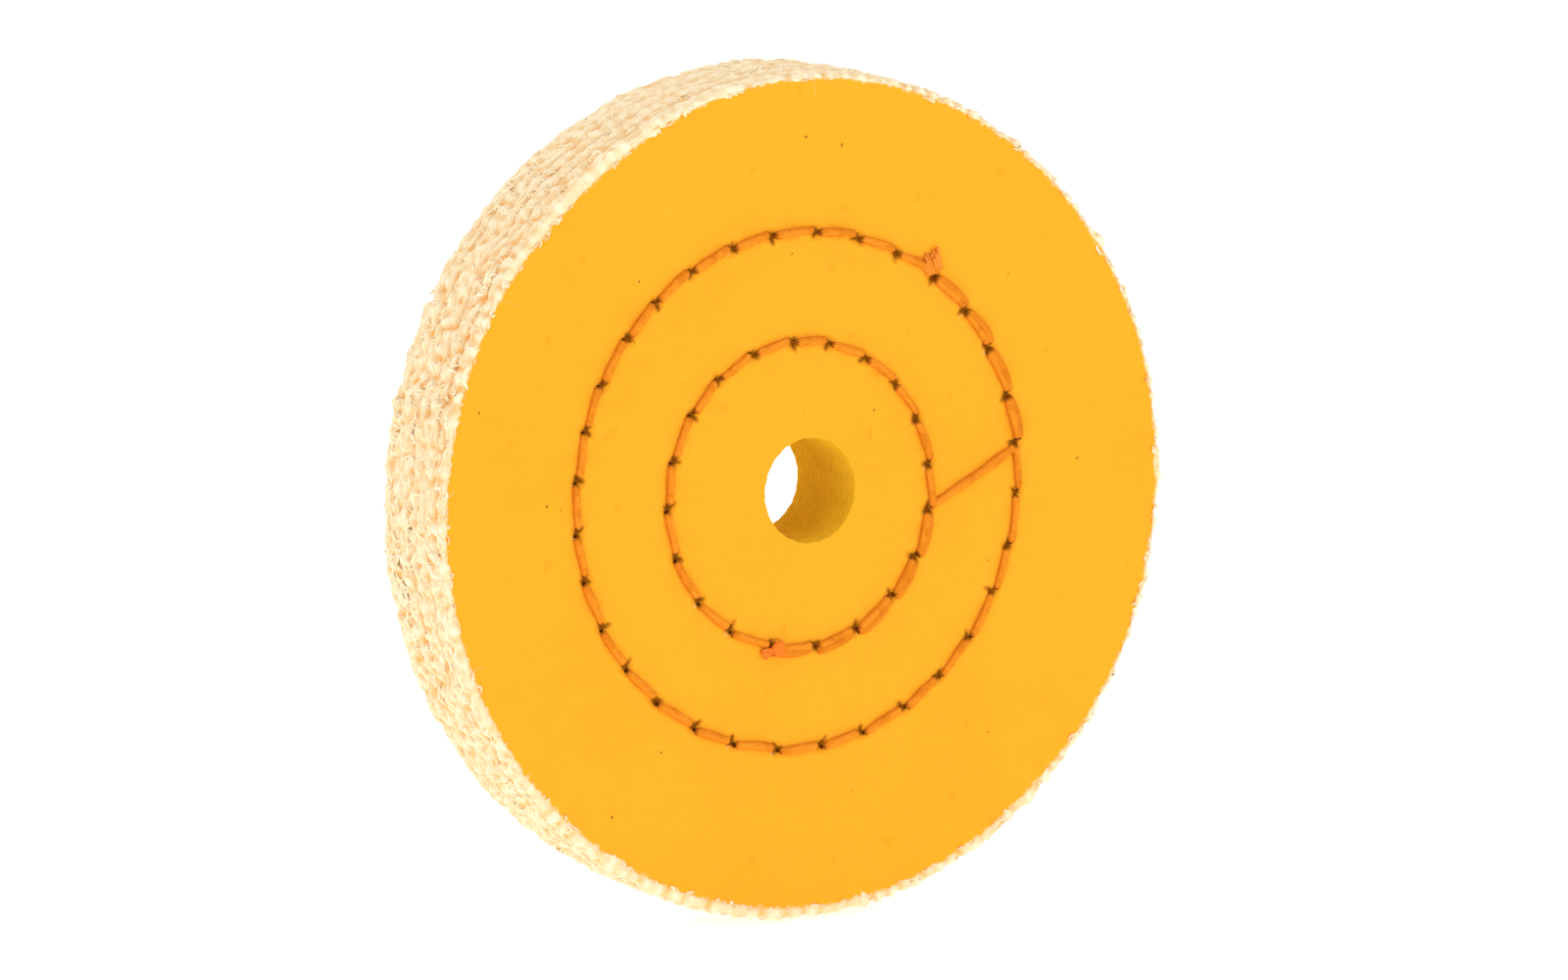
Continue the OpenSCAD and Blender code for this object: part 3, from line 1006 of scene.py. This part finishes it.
def lint_material(name):
    """Raw cotton yarn, cream where the dye hasn't reached it, with painted shade, tan and yellow, in the
    rim's hollows and partings.
    """
    shader = Shader(name, roughness=0.95, sheen=0.1, sheen_tint=(1.0, 0.95, 0.85), specular=0.1)
    place = shader.place()
    fine = shader.noise(place, 1000.0, 3.0, 0.6)
    broad = shader.noise(place, 170.0, 2.0, 0.6)
    # The shade number darkens the yarn towards tan. On the felt it is painted shade in hollows and partings,
    # and elsewhere it is random tone.
    tone = shader.math("ADD", shader.number("shade"), shader.math("MULTIPLY_ADD", fine, 1.6, -0.8))
    colour = shader.mix(shader.span(tone, 0.1, 0.5), CREAM_PALE, CREAM)
    colour = shader.mix(shader.span(tone, 0.55, 1.15), colour, CREAM_DARK)
    colour = shader.mix(shader.span(broad, 0.5, 0.75, 0.0, 0.25), colour, CREAM_DARK)
    # The yellow is partly the dyed cloth and partly painted shade in the rim's hollows.
    colour = shader.mix(shader.math("MULTIPLY", shader.number("dye"), 0.9), colour, DYED)
    shader.put(shader.surface["Base Color"], colour)
    return shader.material


def husk_material(name):
    shader = Shader(name, roughness=0.7, specular=0.2)
    mottle = shader.noise(shader.place(), 5000.0)
    tone = shader.math("MULTIPLY_ADD", mottle, 0.6, shader.math("MULTIPLY", shader.number("shade"), 0.5))
    shader.put(shader.surface["Base Color"], shader.mix(tone, (0.16, 0.07, 0.004), (0.45, 0.19, 0.01)))
    return shader.material


def thread_material(name, colour, deep):
    """Plied cotton thread, streaked along its twisted yarns, with painted shade in the valleys of its twist
    and towards its sides and underside, and a real stain with painted shade where it goes down into a hole.
    """
    shader = Shader(name, roughness=0.85, specular=0.04)
    along, strand = shader.number("along"), shader.number("round")
    wave = shader.math("COSINE", shader.math("MULTIPLY", strand, 6 * math.pi))
    yarn = shader.join(
        shader.math("MULTIPLY", along, 0.26),
        shader.math("MULTIPLY", shader.math("COSINE", shader.math("MULTIPLY", strand, 2 * math.pi)), 1.6),
        shader.math("MULTIPLY", shader.math("SINE", shader.math("MULTIPLY", strand, 2 * math.pi)), 1.6),
    )
    streak = shader.noise(yarn, 2.2, 3.0, 0.65)
    # Painted shade in the valleys between the thread's plies.
    valley = shader.span(wave, -1.0, -0.2, 0.08, 0.0)
    mixed = shader.mix(shader.span(streak, 0.42, 0.66, 0.0, 0.5), colour, deep)
    mixed = shader.mix(valley, mixed, deep)
    # Painted shade towards the thread's sides and underside.
    mixed = shader.mix(shader.math("MULTIPLY", shader.number("dye"), 0.65), mixed, deep)
    patch = shader.noise(shader.place(), 650.0, 2.0, 0.5)
    mixed = shader.mix(shader.span(patch, 0.5, 0.68, 0.0, 0.45), mixed, deep)
    mixed = shader.mix(shader.span(shader.number("shade"), 0.2, 0.5, 0.35, 0.0), mixed, deep)
    blush = shader.span(shader.number("shade"), 0.5, 0.9, 0.0, 0.7)
    mixed = shader.mix(blush, mixed, (0.80, 0.16, 0.02))
    # A real stain together with painted shade where the thread goes down into a hole.
    stained_and_shaded = shader.math("ADD", shader.number("stain"), shader.math("MULTIPLY_ADD", streak, 0.8, -0.4))
    mixed = shader.mix(shader.span(stained_and_shaded, 0.25, 0.8, 0.0, 0.9), mixed, (0.17, 0.042, 0.001))
    shader.put(shader.surface["Base Color"], mixed)
    shader.bump(shader.math("MULTIPLY_ADD", wave, 0.15, streak), 0.06 * MM, 0.5)
    return shader.material


# ---- put together ----

FACE_CLOTH = cloth_material("dyed sheeting, face", outer=True)
INNER_CLOTH = cloth_material("dyed sheeting, inner", outer=False)
LINT = lint_material("frayed cotton")
HUSK = husk_material("seed husk")
THREAD = thread_material("seam thread", (0.80, 0.268, 0.018), (0.54, 0.140, 0.003))
THREAD_END = thread_material("seam thread, frayed", (0.86, 0.285, 0.036), (0.76, 0.24, 0.022))


def ply_piece(k):
    """Ply k, which is woven cloth inside and its own frayed yarn ends at the rim."""
    out = {0: -1, COUNT - 1: 1}.get(k)
    build = Build()
    ply_cloth(build, k)
    ply_felt(build, k)
    ply_yarns(build, k)
    ply_fibres(build, k)
    if out:
        edge_lint(build, k, out)
        places = FRONT_HUSKS if out < 0 else [
            (rng.uniform(9, 48), rng.uniform(0, 360), rng.uniform(0.3, 0.7)) for _ in FRONT_HUSKS
        ]
        husks(build, places, out)
    obj = build.make(PLIES[k] + "_cloth", [FACE_CLOTH if out else INNER_CLOTH, LINT, HUSK])
    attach(obj, "root")
    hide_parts(PLIES[k])
    return obj


for k in range(COUNT):
    ply_piece(k)
thread_piece("needle_thread_seam", "needle_thread", -1, [THREAD, THREAD_END])
thread_piece("bobbin_thread_seam", "bobbin_thread", 1, [THREAD, THREAD_END])


# ---- room, light and camera ----


def floor():
    """A wide pale floor that the wheel stands on."""
    low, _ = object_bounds()
    size, steps = 6.0, 24
    x, y = np.meshgrid(np.linspace(-size, size, steps), np.linspace(-size, size, steps), indexing="ij")
    points = np.stack([x.ravel(), y.ravel(), np.full(x.size, low[2])], 1)
    i, j = np.meshgrid(np.arange(steps - 1), np.arange(steps - 1), indexing="ij")
    first = (i * steps + j).ravel()
    build = Build()
    build.add(points, [np.stack([first, first + steps, first + steps + 1, first + 1], 1)])
    shader = Shader("pale floor", roughness=0.9, specular=0.1)
    grain = shader.noise(shader.place(), 3.0)
    shader.put(shader.surface["Base Color"], shader.mix(grain, (0.97, 0.97, 0.97), (0.94, 0.94, 0.94)))
    shader.surface["Emission Color"].default_value = (1, 1, 1, 1)
    shader.surface["Emission Strength"].default_value = 0.55
    obj = build.make("floor", [shader.material])
    obj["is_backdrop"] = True


def area_light(name, place, size, power):
    """A round light that is aimed at the wheel's middle."""
    light = bpy.data.lights.new(name, "AREA")
    light.shape, light.size, light.energy = "DISK", size, power
    obj = bpy.data.objects.new(name, light)
    obj.location = place
    obj.rotation_euler = (-Vector(place)).to_track_quat("-Z", "Y").to_euler()
    bpy.context.scene.collection.objects.link(obj)


def studio():
    world = bpy.data.worlds.new("studio")
    world.use_nodes = True
    world.node_tree.nodes["Background"].inputs["Color"].default_value = (1, 1, 1, 1)
    world.node_tree.nodes["Background"].inputs["Strength"].default_value = 1.0
    bpy.context.scene.world = world
    area_light("key", (0.3, -1.0, 0.9), 0.5, 1.1)
    area_light("fill", (-1.0, -0.5, 0.4), 0.8, 0.6)
    area_light("top", (-0.3, 0.1, 1.1), 0.6, 0.8)
    bpy.context.scene.view_settings.view_transform = "Standard"
    bpy.context.scene.view_settings.look = "None"


def camera():
    """Stands to the left of the wheel's axis and a little above it, with a long lens."""
    azimuth, elevation, distance = math.radians(-32.3), math.radians(7.4), 0.963
    target = Vector((0, -HUB_T / 2, 0))
    way = Vector((
        math.sin(azimuth) * math.cos(elevation),
        -math.cos(azimuth) * math.cos(elevation),
        math.sin(elevation),
    ))
    data = bpy.data.cameras.new("camera")
    data.lens, data.sensor_width = 182.5, 36
    data.shift_x, data.shift_y = -0.0168, 0.0003
    data.clip_end = 50
    obj = bpy.data.objects.new("camera", data)
    obj.location = target + way * distance
    obj.rotation_euler = (target - obj.location).to_track_quat("-Z", "Y").to_euler()
    bpy.context.scene.collection.objects.link(obj)
    bpy.context.scene.camera = obj


floor()
studio()
camera()
